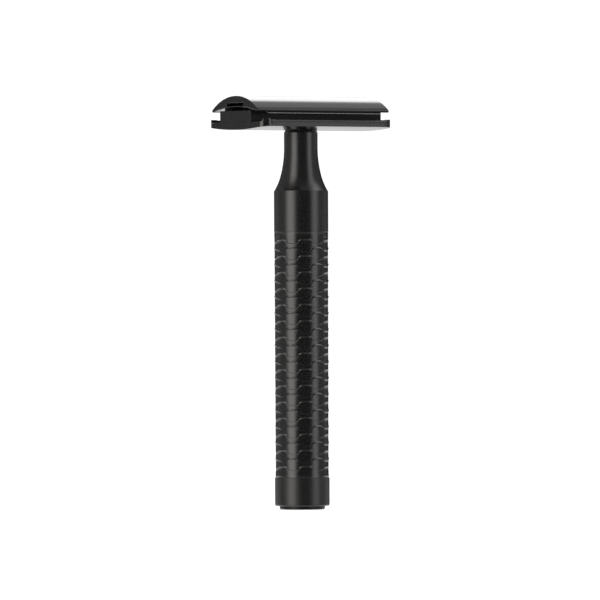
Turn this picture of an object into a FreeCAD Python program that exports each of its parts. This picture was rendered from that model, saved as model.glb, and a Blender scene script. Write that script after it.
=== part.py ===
import FreeCAD, Part
import math
import os

import Sketcher

# Three-piece double-edge safety razor, standing on its foot.
# The handle's axis is Z, the long axis of the head is X, and Z = 0 is the surface that
# the foot rests on. All sizes are in millimetres.

SIZES = {
    # handle, from the bottom up
    "foot_radius": 6.05,
    "foot_round": 0.4,
    "foot_plug_radius": 4.0,
    "foot_plug_top": 2.8,
    "knob_bottom": 0.95,
    "knob_top": 8.55,
    "knob_radius": 7.3,
    "knob_round": 0.4,
    "knob_spigot_top": 15.0,
    "spigot_radius": 5.72,
    "rod_radius": 2.5,
    "rod_bottom": 4.2,
    "rod_top": 82.0,
    "rod_bevel": 0.5,
    "rod_end_gap": 0.8,
    "ring_section_radius": 0.55,
    "ring_seat_radius": 4.65,
    "ring_groove_width": 1.3,
    "lower_ring_height": 11.0,
    "upper_ring_height": 71.0,
    "sleeve_bore_radius": 5.8,
    "sleeve_radius_bottom": 7.24,
    "sleeve_radius_top": 7.34,
    "sleeve_edge": 0.12,
    "sleeve_edge_height": 1.5,
    "neck_spigot_bottom": 66.0,
    "collar_bottom": 74.0,
    "collar_radius": 7.25,
    "shoulder": 85.1,
    "flare_middle": 90.0,
    "flare_middle_radius": 5.23,
    "flare_lower_arc": 15.9,
    "flare_upper_arc": 29.3,
    "flare_top": 96.5,
    "neck_radius": 4.5,
    "neck_top": 101.33,
    "neck_bevel": 0.75,
    "stud_bore_radius": 2.5,
    "stud_bore_floor": 90.5,
    # head, as a section across it
    "head_length": 43.6,
    "cap_shoulder": 106.42,
    "cap_half_width": 10.4,
    "cap_arc": 16.2,
    "cap_channel_half_width": 3.7,
    "cap_channel_roof": 108.3,
    "blade_arc": 32.0,
    "blade_arc_centre": 75.4,
    "blade_half_width": 10.84,
    "blade_gap": 0.03,
    "plate_block_half_width": 6.75,
    "plate_channel_half_width": 3.5,
    "plate_channel_floor": 106.2,
    "plate_half_width": 12.5,
    "plate_bar_top": 104.0,
    "plate_bar_bottom": 102.0,
    "plate_belly_arc": 92.3,
    "plate_trough_floor": 103.2,
    "plate_rim_foot": 11.2,
    "plate_rim_inner_edge": 11.5,
    "plate_corner_radius": 2.6,
    "plate_end_relief": 1.6,
    "bar_bevel_depth": 0.8,
    "bar_bevel_height": 0.6,
    "bar_land_end": 2.9,
    "seat_radius": 4.6,
    "seat_face": 101.35,
    # blade, flat sizes
    "blade_thickness": 0.1,
    "blade_length": 43.0,
    "blade_edge_length": 37.6,
    "blade_tab_half_width": 7.8,
    "slot_half_width": 1.0,
    "slot_half_length": 16.5,
    "slot_centre_radius": 3.1,
    "slot_pin_radius": 2.1,
    # stud and pins that are fixed in the cap
    "stud_radius": 2.45,
    "stud_bottom": 93.4,
    "stud_top": 109.4,
    "stud_collar_radius": 3.2,
    "stud_collar_bottom": 107.55,
    "stud_clearance_radius": 2.65,
    "stud_bevel": 0.5,
    "pin_radius": 1.5,
    "pin_bottom": 103.1,
    "pin_top": 109.2,
    "pin_bevel": 0.3,
    "pin_offset": 12.5,
    "pin_hole_radius": 1.6,
    "pin_hole_floor": 102.7,
}

Vector = FreeCAD.Vector


class Dim:
    """A length that knows its value and the spreadsheet expression it comes from."""

    def __init__(self, value, text):
        self.value = value
        self.text = text

    def __add__(self, other):
        other = as_dim(other)
        return Dim(self.value + other.value, f"({self.text} + {other.text})")

    def __sub__(self, other):
        other = as_dim(other)
        return Dim(self.value - other.value, f"({self.text} - {other.text})")

    def __mul__(self, other):
        other = as_dim(other)
        return Dim(self.value * other.value, f"({self.text} * {other.text})")

    def __truediv__(self, other):
        other = as_dim(other)
        return Dim(self.value / other.value, f"({self.text} / {other.text})")

    def __neg__(self):
        return Dim(-self.value, f"(0 - {self.text})")


def as_dim(number):
    return number if isinstance(number, Dim) else Dim(float(number), repr(float(number)))


def root(dim):
    return Dim(math.sqrt(dim.value), f"sqrt({dim.text})")


class Sizes:
    """Reads each driving size as an attribute, as a Dim bound to the sheet's cell."""

    def __init__(self, doc):
        self.sheet = doc.addObject("Spreadsheet::Sheet", "Sizes")
        for row, (alias, value) in enumerate(SIZES.items(), start=1):
            self.sheet.set(f"A{row}", alias)
            self.sheet.set(f"B{row}", str(value))
            self.sheet.setAlias(f"B{row}", alias)
            setattr(self, alias, Dim(value, f"Sizes.{alias}"))
        doc.recompute()


def bind(feature, prop, dim):
    feature.setExpression(prop, as_dim(dim).text)


# Sketches

def origin_plane(body, role):
    return next(item for item in body.Origin.OriginFeatures if item.Role == role)


def empty_sketch(body, role, name):
    sketch = body.newObject("Sketcher::SketchObject", name)
    sketch.AttachmentSupport = (origin_plane(body, role), [""])
    sketch.MapMode = "FlatFace"
    return sketch


def fix_point(sketch, geometry, end, x, y):
    """Places one point of a sketch by its two coordinates."""
    for kind, dim, axis in (("DistanceX", x, -2), ("DistanceY", y, -1)):
        if abs(dim.value) < 1e-9:
            sketch.addConstraint(Sketcher.Constraint("PointOnObject", geometry, end, axis))
            continue
        index = sketch.addConstraint(Sketcher.Constraint(kind, geometry, end, dim.value))
        bind(sketch, f"Constraints[{index}]", dim)


def arc_between(start, finish, radius):
    """The arc of less than half a turn from start to finish; a negative radius turns clockwise."""
    first, last = (start, finish) if radius > 0 else (finish, start)
    chord = last - first
    rise = math.sqrt(radius ** 2 - chord.Length ** 2 / 4)
    centre = (first + last) / 2 + Vector(-chord.y, chord.x, 0).normalize() * rise
    angles = [math.atan2(point.y - centre.y, point.x - centre.x) for point in (first, last)]
    return Part.ArcOfCircle(Part.Circle(centre, Vector(0, 0, 1), abs(radius)), *angles)


def outline(body, role, name, corners):
    """A closed sketch. A corner is (x, y), or (x, y, radius) where an arc leads to the next."""
    sketch = empty_sketch(body, role, name)
    corners = [tuple(as_dim(item) for item in corner) for corner in corners]
    ends = []
    for number, corner in enumerate(corners):
        following = corners[(number + 1) % len(corners)]
        start = Vector(corner[0].value, corner[1].value, 0)
        finish = Vector(following[0].value, following[1].value, 0)
        if len(corner) == 2:
            edge = sketch.addGeometry(Part.LineSegment(start, finish))
            ends.append((edge, 1, 2))
            continue
        radius = corner[2]
        edge = sketch.addGeometry(arc_between(start, finish, radius.value))
        ends.append((edge, 1, 2) if radius.value > 0 else (edge, 2, 1))
        size = radius if radius.value > 0 else -radius
        index = sketch.addConstraint(Sketcher.Constraint("Radius", edge, size.value))
        bind(sketch, f"Constraints[{index}]", size)
    for number, (edge, head, tail) in enumerate(ends):
        next_edge, next_head, _ = ends[(number + 1) % len(ends)]
        sketch.addConstraint(Sketcher.Constraint("Coincident", edge, tail, next_edge, next_head))
        fix_point(sketch, edge, head, corners[number][0], corners[number][1])
    return sketch


def circles(body, role, name, places):
    """A sketch of circles, each given as (x, y, radius)."""
    sketch = empty_sketch(body, role, name)
    for place in places:
        x, y, radius = (as_dim(item) for item in place)
        circle = Part.Circle(Vector(x.value, y.value, 0), Vector(0, 0, 1), radius.value)
        edge = sketch.addGeometry(circle)
        fix_point(sketch, edge, 3, x, y)
        index = sketch.addConstraint(Sketcher.Constraint("Radius", edge, radius.value))
        bind(sketch, f"Constraints[{index}]", radius)
    return sketch


# Features

def new_body(doc, label):
    body = doc.addObject("PartDesign::Body", label)
    body.Label = label
    return body


def revolve(doc, label, corners):
    """A turned piece from its half section, given as (radius, height) corners."""
    body = new_body(doc, label)
    sketch = outline(body, "XZ_Plane", f"{label}_section", corners)
    turned = body.newObject("PartDesign::Revolution", f"{label}_turned")
    turned.Profile = sketch
    turned.ReferenceAxis = (sketch, ["V_Axis"])
    turned.Angle = 360
    return body


def extrude_along_x(doc, label, corners, length):
    """A piece from its cross-section in YZ, half its length to each side of the middle."""
    body = new_body(doc, label)
    pad = body.newObject("PartDesign::Pad", f"{label}_pad")
    pad.Profile = outline(body, "YZ_Plane", f"{label}_section", corners)
    pad.SideType = "Symmetric"
    bind(pad, "Length", length)
    return body


def cut(body, name, sketch, length=None):
    """A pocket to both sides of the sketch, through everything unless a length is given."""
    body.Document.recompute()
    before = body.Shape.Volume
    pocket = body.newObject("PartDesign::Pocket", name)
    pocket.Profile = sketch
    pocket.SideType = "Symmetric"
    pocket.Type = "Length" if length is not None else "ThroughAll"
    if length is not None:
        bind(pocket, "Length", length)
    body.Tip = pocket
    body.Document.recompute()
    if body.Shape.Volume > before - 1e-4:
        raise RuntimeError(f"{name} cuts nothing")


def cut_between(body, name, places, bottom, top):
    """Round vertical holes, each given as (x, y, radius), from bottom up to top."""
    sketch = circles(body, "XY_Plane", f"{name}_circles", places)
    bind(sketch, "AttachmentOffset.Base.z", (bottom + top) / 2)
    cut(body, name, sketch, top - bottom)


def on_circle(radius, offset, centre):
    """Height of a circle's upper half at a distance from its middle."""
    return centre + root(radius * radius - offset * offset)


# Handle

def make_foot_disc(doc, d):
    edge = d.foot_radius - d.foot_round
    revolve(doc, "foot_disc", [
        (0, 0),
        (edge, 0, d.foot_round),
        (d.foot_radius, d.foot_round),
        (d.foot_radius, d.knob_bottom),
        (d.foot_plug_radius, d.knob_bottom),
        (d.foot_plug_radius, d.foot_plug_top),
        (0, d.foot_plug_top),
    ])


def ring_groove(d, height):
    """The corners, from the bottom up, that cut a seal's groove into a spigot's outside."""
    half = d.ring_groove_width / 2
    return [
        (d.spigot_radius, height - half),
        (d.ring_seat_radius, height - half),
        (d.ring_seat_radius, height + half),
        (d.spigot_radius, height + half),
    ]


def make_end_knob(doc, d):
    rod_seat = d.rod_bottom - d.rod_end_gap
    revolve(doc, "end_knob", [
        (0, d.foot_plug_top),
        (d.foot_plug_radius, d.foot_plug_top),
        (d.foot_plug_radius, d.knob_bottom),
        (d.knob_radius - d.knob_round, d.knob_bottom, d.knob_round),
        (d.knob_radius, d.knob_bottom + d.knob_round),
        (d.knob_radius, d.knob_top - d.knob_round / 2),
        (d.knob_radius - d.knob_round / 2, d.knob_top),
        (d.spigot_radius, d.knob_top),
        *ring_groove(d, d.lower_ring_height),
        (d.spigot_radius, d.knob_spigot_top),
        (d.rod_radius, d.knob_spigot_top),
        (d.rod_radius, rod_seat),
        (0, rod_seat),
    ])


def make_tie_rod(doc, d):
    tip = d.rod_radius - d.rod_bevel
    revolve(doc, "tie_rod", [
        (0, d.rod_bottom),
        (tip, d.rod_bottom),
        (d.rod_radius, d.rod_bottom + d.rod_bevel),
        (d.rod_radius, d.rod_top - d.rod_bevel),
        (tip, d.rod_top),
        (0, d.rod_top),
    ])


def make_grip_sleeve(doc, d):
    revolve(doc, "grip_sleeve", [
        (d.sleeve_bore_radius, d.knob_top),
        (d.sleeve_radius_bottom - d.sleeve_edge, d.knob_top),
        (d.sleeve_radius_bottom, d.knob_top + d.sleeve_edge_height),
        (d.sleeve_radius_top, d.collar_bottom - d.sleeve_edge_height),
        (d.sleeve_radius_top - d.sleeve_edge, d.collar_bottom),
        (d.sleeve_bore_radius, d.collar_bottom),
    ])


def make_handle_neck(doc, d):
    rod_roof = d.rod_top + d.rod_end_gap
    revolve(doc, "handle_neck", [
        (d.rod_radius, d.neck_spigot_bottom),
        (d.spigot_radius, d.neck_spigot_bottom),
        *ring_groove(d, d.upper_ring_height),
        (d.spigot_radius, d.collar_bottom),
        (d.collar_radius, d.collar_bottom),
        (d.collar_radius, d.shoulder, -d.flare_lower_arc),
        (d.flare_middle_radius, d.flare_middle, -d.flare_upper_arc),
        (d.neck_radius, d.flare_top),
        (d.neck_radius, d.neck_top - d.neck_bevel),
        (d.neck_radius - d.neck_bevel, d.neck_top),
        (d.stud_bore_radius, d.neck_top),
        (d.stud_bore_radius, d.stud_bore_floor),
        (0, d.stud_bore_floor),
        (0, rod_roof),
        (d.rod_radius, rod_roof),
    ])


def make_seal_ring(doc, d, label, height):
    ring = doc.addObject("Part::Torus", label)
    ring.Label = label
    bind(ring, "Radius1", d.ring_seat_radius + d.ring_section_radius)
    bind(ring, "Radius2", d.ring_section_radius)
    bind(ring, "Placement.Base.z", height)


# Head

def make_base_plate(doc, d):
    top_arc = d.blade_arc - d.blade_thickness / 2 - d.blade_gap
    block_edge = on_circle(top_arc, d.plate_block_half_width, d.blade_arc_centre)
    channel_edge = on_circle(top_arc, d.plate_channel_half_width, d.blade_arc_centre)
    half, block, channel = d.plate_half_width, d.plate_block_half_width, d.plate_channel_half_width
    trough, rim_foot, rim_edge = d.plate_trough_floor, d.plate_rim_foot, d.plate_rim_inner_edge
    body = extrude_along_x(doc, "base_plate", [
        (-half, d.plate_bar_bottom, d.plate_belly_arc),
        (half, d.plate_bar_bottom),
        (half, d.plate_bar_top),
        (rim_edge, d.plate_bar_top),
        (rim_foot, trough),
        (block, trough),
        (block, block_edge, top_arc),
        (channel, channel_edge),
        (channel, d.plate_channel_floor),
        (-channel, d.plate_channel_floor),
        (-channel, channel_edge, top_arc),
        (-block, block_edge),
        (-block, trough),
        (-rim_foot, trough),
        (-rim_edge, d.plate_bar_top),
        (-half, d.plate_bar_top),
    ], d.head_length)
    round_plate_corners(body, d)

    end, relief = d.head_length / 2, d.head_length / 2 - d.plate_end_relief
    for side, sign in (("left", -1), ("right", 1)):
        sketch = outline(body, "XZ_Plane", f"{side}_relief_section", [
            (relief * sign, d.plate_channel_floor),
            ((end + 1) * sign, d.plate_channel_floor),
            ((end + 1) * sign, d.cap_channel_roof),
            (relief * sign, d.cap_channel_roof),
        ])
        cut(body, f"{side}_end_relief", sketch)

    for side, sign in (("front", -1), ("back", 1)):
        sketch = outline(body, "YZ_Plane", f"{side}_bevel_section", [
            ((half - d.bar_bevel_depth) * sign, d.plate_bar_top),
            ((half + 1) * sign, d.plate_bar_top),
            ((half + 1) * sign, d.plate_bar_top - d.bar_bevel_height),
            (half * sign, d.plate_bar_top - d.bar_bevel_height),
        ])
        cut(body, f"{side}_bar_bevel", sketch, d.head_length - d.bar_land_end * 2)

    cut_between(body, "stud_hole", [(0, 0, d.stud_clearance_radius)],
                d.seat_face - 1, d.cap_channel_roof)
    cut_between(body, "neck_seat", [(0, 0, d.seat_radius)], d.seat_face - 1, d.seat_face)
    pins = [(d.pin_offset * sign, 0, d.pin_hole_radius) for sign in (-1, 1)]
    cut_between(body, "pin_holes", pins, d.pin_hole_floor, d.cap_channel_roof)


def round_plate_corners(body, d):
    """Rounds the four upright edges at the corners of the plate."""
    body.Document.recompute()
    upright = [
        f"Edge{number}" for number, edge in enumerate(body.Shape.Edges, start=1)
        if abs(abs(edge.CenterOfMass.x) - d.head_length.value / 2) < 1e-3
        and abs(abs(edge.CenterOfMass.y) - d.plate_half_width.value) < 1e-3
    ]
    if len(upright) != 4:
        raise RuntimeError(f"the plate has {len(upright)} upright corner edges, not 4")
    base = body.Tip
    rounding = body.newObject("PartDesign::Fillet", "corner_rounding")
    rounding.Base = (base, upright)
    bind(rounding, "Radius", d.plate_corner_radius)
    body.Tip = rounding


def make_razor_blade(doc, d):
    outer, inner = d.blade_arc + d.blade_thickness / 2, d.blade_arc - d.blade_thickness / 2
    half = d.blade_half_width
    outer_edge = on_circle(outer, half, d.blade_arc_centre)
    inner_edge = on_circle(inner, half, d.blade_arc_centre)
    body = extrude_along_x(doc, "razor_blade", [
        (-half, inner_edge, -inner),
        (half, inner_edge),
        (half, outer_edge, outer),
        (-half, outer_edge),
    ], d.blade_length)

    tab, beyond = d.blade_tab_half_width, half + 1
    shoulder, tip = d.blade_edge_length / 2, d.blade_length / 2 + 1
    for end, x_sign in (("left", -1), ("right", 1)):
        for side, y_sign in (("front", -1), ("back", 1)):
            sketch = outline(body, "XY_Plane", f"{end}_{side}_notch", [
                (shoulder * x_sign, tab * y_sign),
                (tip * x_sign, tab * y_sign),
                (tip * x_sign, beyond * y_sign),
                (shoulder * x_sign, beyond * y_sign),
            ])
            cut(body, f"{end}_{side}_shoulder", sketch)

    width, length = d.slot_half_width, d.slot_half_length
    cut(body, "slot", outline(body, "XY_Plane", "slot_outline", [
        (-length, -width), (length, -width), (length, width), (-length, width),
    ]))
    openings = [(0, d.slot_centre_radius)]
    openings += [(d.pin_offset * sign, d.slot_pin_radius) for sign in (-1, 1)]
    for number, (x, radius) in enumerate(openings):
        cut(body, f"slot_opening_{number}", circles(body, "XY_Plane", f"opening_{number}",
                                                    [(x, 0, radius)]))


def make_top_cap(doc, d):
    under_arc = d.blade_arc + d.blade_thickness / 2 + d.blade_gap
    half, channel = d.cap_half_width, d.cap_channel_half_width
    lip = on_circle(under_arc, half, d.blade_arc_centre)
    channel_edge = on_circle(under_arc, channel, d.blade_arc_centre)
    body = extrude_along_x(doc, "top_cap", [
        (half, lip),
        (half, d.cap_shoulder, d.cap_arc),
        (-half, d.cap_shoulder),
        (-half, lip, -under_arc),
        (-channel, channel_edge),
        (-channel, d.cap_channel_roof),
        (channel, d.cap_channel_roof),
        (channel, channel_edge, -under_arc),
    ], d.head_length)
    cut_between(body, "stud_socket", [(0, 0, d.stud_radius)], d.cap_channel_roof - 1, d.stud_top)
    pins = [(d.pin_offset * sign, 0, d.pin_radius) for sign in (-1, 1)]
    cut_between(body, "pin_sockets", pins, d.cap_channel_roof - 1, d.pin_top)


def make_clamp_stud(doc, d):
    tip = d.stud_radius - d.stud_bevel
    revolve(doc, "clamp_stud", [
        (0, d.stud_bottom),
        (tip, d.stud_bottom),
        (d.stud_radius, d.stud_bottom + d.stud_bevel),
        (d.stud_radius, d.stud_collar_bottom),
        (d.stud_collar_radius, d.stud_collar_bottom),
        (d.stud_collar_radius, d.cap_channel_roof),
        (d.stud_radius, d.cap_channel_roof),
        (d.stud_radius, d.stud_top),
        (0, d.stud_top),
    ])


def make_locating_pin(doc, d, label, x):
    tip = d.pin_radius - d.pin_bevel
    pin = revolve(doc, label, [
        (0, d.pin_bottom),
        (tip, d.pin_bottom),
        (d.pin_radius, d.pin_bottom + d.pin_bevel),
        (d.pin_radius, d.pin_top),
        (0, d.pin_top),
    ])
    bind(pin, "Placement.Base.x", x)


def make_razor(doc, d):
    make_foot_disc(doc, d)
    make_end_knob(doc, d)
    make_tie_rod(doc, d)
    make_grip_sleeve(doc, d)
    make_handle_neck(doc, d)
    make_seal_ring(doc, d, "lower_seal_ring", d.lower_ring_height)
    make_seal_ring(doc, d, "upper_seal_ring", d.upper_ring_height)
    make_base_plate(doc, d)
    make_razor_blade(doc, d)
    make_top_cap(doc, d)
    make_clamp_stud(doc, d)
    make_locating_pin(doc, d, "locating_pin_left", -d.pin_offset)
    make_locating_pin(doc, d, "locating_pin_right", d.pin_offset)


def check(doc, sub_parts):
    for item in doc.Objects:
        if any(word in item.State for word in ("Invalid", "Error")):
            raise RuntimeError(f"{item.Label} did not compute: {item.State}")
    for item in sub_parts:
        if item.Shape.isNull() or not item.Shape.isValid() or len(item.Shape.Solids) != 1:
            raise RuntimeError(f"{item.Label} is not one valid solid")


def main():
    doc = FreeCAD.newDocument("safety_razor")
    make_razor(doc, Sizes(doc))
    doc.recompute()
    sub_parts = [item for item in doc.Objects
                 if item.isDerivedFrom("PartDesign::Body") or item.isDerivedFrom("Part::Torus")]
    check(doc, sub_parts)
    os.makedirs("parts", exist_ok=True)
    for item in sub_parts:
        item.Shape.exportStep(f"parts/{item.Label}.step")
        print(f"{item.Label}: {item.Shape.Volume:.1f} mm3")


main()
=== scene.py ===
import math

import bmesh
import bpy
from mathutils import Matrix, Vector


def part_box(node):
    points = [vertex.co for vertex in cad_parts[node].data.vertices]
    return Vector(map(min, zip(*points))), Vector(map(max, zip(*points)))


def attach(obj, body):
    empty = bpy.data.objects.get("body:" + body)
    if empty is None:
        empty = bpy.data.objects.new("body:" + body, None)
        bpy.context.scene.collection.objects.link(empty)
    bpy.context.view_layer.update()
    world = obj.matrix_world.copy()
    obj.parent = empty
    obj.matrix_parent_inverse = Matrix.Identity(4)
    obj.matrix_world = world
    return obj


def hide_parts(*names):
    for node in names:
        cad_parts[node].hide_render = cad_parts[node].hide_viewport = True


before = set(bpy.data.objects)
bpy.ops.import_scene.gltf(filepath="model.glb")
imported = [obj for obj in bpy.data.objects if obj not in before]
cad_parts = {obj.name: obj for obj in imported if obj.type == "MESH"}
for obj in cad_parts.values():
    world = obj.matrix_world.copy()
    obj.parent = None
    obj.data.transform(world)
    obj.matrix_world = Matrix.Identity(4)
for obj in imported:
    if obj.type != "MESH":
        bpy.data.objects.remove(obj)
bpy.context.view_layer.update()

# Finished looks of the safety razor. Lengths in this file are written in millimetres and
# become metres through MM when a mesh is made, so that they read like the CAD's sizes.

MM = 0.001
ROUND_STEPS = 5
TURNED_SEGMENTS = 192

# The view: the camera stands off the head's near end, level, a long way back.
VIEW_AZIMUTH = math.radians(-37.0)
VIEW_DISTANCE = 2.4
VIEW_HEIGHT = 0.0559
VIEW_WIDTH = 0.1602
VIEW_ROLL = math.radians(-0.25)
VIEW_ASIDE = -0.0004


def extent(node):
    """Lowest and highest corner of a CAD node, in millimetres."""
    low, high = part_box(node)
    return low / MM, high / MM


def unit(value):
    """A value held between 0 and 1."""
    return max(0.0, min(1.0, value))


# Outlines

def arc_points(centre, radius, start, end, steps):
    """Points of an arc, both ends included, with its angles in radians."""
    turn = (end - start) / steps
    return [(centre[0] + radius * math.cos(start + turn * i),
             centre[1] + radius * math.sin(start + turn * i)) for i in range(steps + 1)]


def rounded(corners, closed=True, steps=ROUND_STEPS):
    """An outline with its corners rounded; each corner is (x, y) or (x, y, radius)."""
    points = []
    count = len(corners)
    for number, corner in enumerate(corners):
        here = Vector(corner[:2])
        radius = corner[2] if len(corner) > 2 else 0
        is_end = not closed and number in (0, count - 1)
        if radius == 0 or is_end:
            points.append(tuple(here))
            continue
        back = (Vector(corners[number - 1][:2]) - here).normalized()
        ahead = (Vector(corners[(number + 1) % count][:2]) - here).normalized()
        half = back.angle(ahead) / 2
        centre = here + (back + ahead).normalized() * (radius / math.sin(half))
        tangent = radius / math.tan(half)
        first = here + back * tangent - centre
        last = here + ahead * tangent - centre
        sweep = first.angle_signed(last)
        for step in range(steps + 1):
            offset = first.copy()
            offset.rotate(Matrix.Rotation(-sweep * step / steps, 2))
            points.append(tuple(centre + offset))
    return points


def inset(points, distance):
    """A closed counter-clockwise outline moved inwards by a small distance."""
    if distance == 0:
        return list(points)
    places = [Vector(point) for point in points]
    count = len(places)
    moved = []
    for number, here in enumerate(places):
        back, ahead = number - 1, (number + 1) % count
        while (here - places[back]).length < 1e-4:
            back -= 1
        while (places[ahead] - here).length < 1e-4:
            ahead = (ahead + 1) % count
        before = (here - places[back]).normalized()
        after = (places[ahead] - here).normalized()
        along = (before + after).normalized()
        moved.append((here.x - along.y * distance, here.y + along.x * distance))
    return moved


# Meshes

def finish_mesh(name, verts, faces, sharp_angle=40):
    """Makes a piece from points in millimetres, with outward faces and smooth shading."""
    mesh = bpy.data.meshes.new(name)
    mesh.from_pydata([tuple(c * MM for c in vert) for vert in verts], [], faces)
    work = bmesh.new()
    work.from_mesh(mesh)
    bmesh.ops.remove_doubles(work, verts=work.verts, dist=0.002 * MM)
    bmesh.ops.recalc_face_normals(work, faces=work.faces)
    for face in work.faces:
        face.smooth = True
    work.to_mesh(mesh)
    work.free()
    mesh.set_sharp_from_angle(angle=math.radians(sharp_angle))
    piece = bpy.data.objects.new(name, mesh)
    bpy.context.scene.collection.objects.link(piece)
    return piece


def even_shading(piece):
    """Lets the large faces set the normals, so that flats stay flat beside small rounds."""
    modifier = piece.modifiers.new("even_shading", "WEIGHTED_NORMAL")
    modifier.keep_sharp = True
    modifier.weight = 60


def turned(name, outline, closed, at=(0, 0), segments=TURNED_SEGMENTS):
    """A piece turned round a vertical axis from its half section of (radius, height)."""
    verts, faces, rings = [], [], []
    for radius, height in outline:
        if radius < 1e-6:
            rings.append([len(verts)] * segments)
            verts.append((at[0], at[1], height))
            continue
        rings.append(list(range(len(verts), len(verts) + segments)))
        for i in range(segments):
            angle = 2 * math.pi * i / segments
            verts.append((at[0] + radius * math.cos(angle),
                          at[1] + radius * math.sin(angle), height))
    uppers = rings[1:] + (rings[:1] if closed else [])
    for low, high in zip(rings, uppers):
        for i in range(segments):
            j = (i + 1) % segments
            corners = tuple(dict.fromkeys((low[i], low[j], high[j], high[i])))
            if len(corners) > 2:
                faces.append(corners)
    piece = finish_mesh(name, verts, faces)
    even_shading(piece)
    return piece


def skinned(name, loops):
    """A piece skinned over loops that have the same number of points; the ends are closed."""
    size = len(loops[0])
    verts = [point for loop in loops for point in loop]
    faces = [tuple(range(size)), tuple(range(len(verts) - size, len(verts)))[::-1]]
    for row in range(len(loops) - 1):
        start, above = row * size, (row + 1) * size
        for i in range(size):
            j = (i + 1) % size
            faces.append((start + i, start + j, above + j, above + i))
    piece = finish_mesh(name, verts, faces)
    even_shading(piece)
    return piece


def carved(piece, cutters):
    """Subtracts the cutters from a piece, and removes them."""
    for cutter in cutters:
        modifier = piece.modifiers.new("cut", "BOOLEAN")
        modifier.operation = "DIFFERENCE"
        modifier.solver = "EXACT"
        modifier.object = cutter
        piece.modifiers.move(len(piece.modifiers) - 1, 0)
    shading = piece.modifiers.get("even_shading")
    if shading:
        piece.modifiers.remove(shading)
    bpy.context.view_layer.update()
    graph = bpy.context.evaluated_depsgraph_get()
    mesh = bpy.data.meshes.new_from_object(piece.evaluated_get(graph))
    piece.modifiers.clear()
    piece.data = mesh
    for cutter in cutters:
        bpy.data.objects.remove(cutter)
    mesh.set_sharp_from_angle(angle=math.radians(40))
    even_shading(piece)
    return piece


# Handle: its turned parts share these sizes, which are the CAD's.

PLUG_RADIUS = 4.0
SPIGOT_RADIUS = 5.72
RING_SEAT_RADIUS = 4.65
RING_GROOVE_HALF = 0.65
ROD_RADIUS = 2.5
ROD_END_GAP = 0.8
SHOULDER = 85.1
FLARE_MIDDLE = 90.0
FLARE_MIDDLE_RADIUS = 5.23
FLARE_TOP = 96.5
FLARE_LOWER_ARC = 15.9
FLARE_UPPER_ARC = 29.3
NECK_RADIUS = 4.5
STUD_BORE_RADIUS = 2.5
STUD_BORE_FLOOR = 90.5

# Bevels that differ from the CAD's, which has none on the collar and a wider one on the neck.
COLLAR_EDGE_WIDTH = 0.12
COLLAR_EDGE_HEIGHT = 0.16
NECK_BEVEL_WIDTH = 0.42
NECK_BEVEL_HEIGHT = 0.75


def make_foot_disc():
    """The disc that the razor stands on, and the plug that holds it in the knob."""
    low, high = extent("foot_disc")
    knob_low = extent("end_knob")[0].z
    return turned("foot_disc_turned", rounded([
        (0, low.z), (high.x, low.z, 0.4), (high.x, knob_low), (PLUG_RADIUS, knob_low),
        (PLUG_RADIUS, high.z), (0, high.z),
    ], closed=False), closed=False)


def ring_groove(ring_node):
    """The groove in a spigot that a seal ring lies in, from the bottom up."""
    ring_low, ring_high = extent(ring_node)
    middle = (ring_low.z + ring_high.z) / 2
    low, high = middle - RING_GROOVE_HALF, middle + RING_GROOVE_HALF
    return [(SPIGOT_RADIUS, low), (RING_SEAT_RADIUS, low, 0.15),
            (RING_SEAT_RADIUS, high, 0.15), (SPIGOT_RADIUS, high)]


def make_end_knob():
    """The knob, and its spigot that goes up into the sleeve."""
    low, high = extent("end_knob")
    sleeve_low = extent("grip_sleeve")[0].z
    plug_top = extent("foot_disc")[1].z
    rod_floor = extent("tie_rod")[0].z - ROD_END_GAP
    return turned("end_knob_turned", rounded([
        (0, plug_top), (PLUG_RADIUS, plug_top), (PLUG_RADIUS, low.z), (high.x, low.z, 0.4),
        (high.x, sleeve_low, 0.14), (SPIGOT_RADIUS, sleeve_low),
        *ring_groove("lower_seal_ring"), (SPIGOT_RADIUS, high.z, 0.3),
        (ROD_RADIUS, high.z), (ROD_RADIUS, rod_floor), (0, rod_floor),
    ], closed=False), closed=False)


def make_handle_neck():
    """The spigot inside the sleeve, the collar, the flare and the neck, in one piece."""
    low, high = extent("handle_neck")
    sleeve_high = extent("grip_sleeve")[1].z
    rod_roof = extent("tie_rod")[1].z + ROD_END_GAP
    collar = high.x
    flare_middle = (FLARE_MIDDLE_RADIUS, FLARE_MIDDLE)
    lower_curve = bulged((collar - COLLAR_EDGE_WIDTH, SHOULDER), flare_middle, FLARE_LOWER_ARC)
    upper_curve = bulged(flare_middle, (NECK_RADIUS, FLARE_TOP), FLARE_UPPER_ARC)
    return turned("handle_neck_turned", rounded([
        (ROD_RADIUS, low.z), (SPIGOT_RADIUS, low.z, 0.3), *ring_groove("upper_seal_ring"),
        (SPIGOT_RADIUS, sleeve_high), (collar, sleeve_high, 0.1),
        (collar, SHOULDER - COLLAR_EDGE_HEIGHT), *lower_curve, *upper_curve[1:],
        (NECK_RADIUS, high.z - NECK_BEVEL_HEIGHT, 0.1),
        (NECK_RADIUS - NECK_BEVEL_WIDTH, high.z, 0.08), (STUD_BORE_RADIUS, high.z, 0.15),
        (STUD_BORE_RADIUS, STUD_BORE_FLOOR), (0, STUD_BORE_FLOOR), (0, rod_roof),
        (ROD_RADIUS, rod_roof),
    ], closed=True), closed=True)


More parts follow.
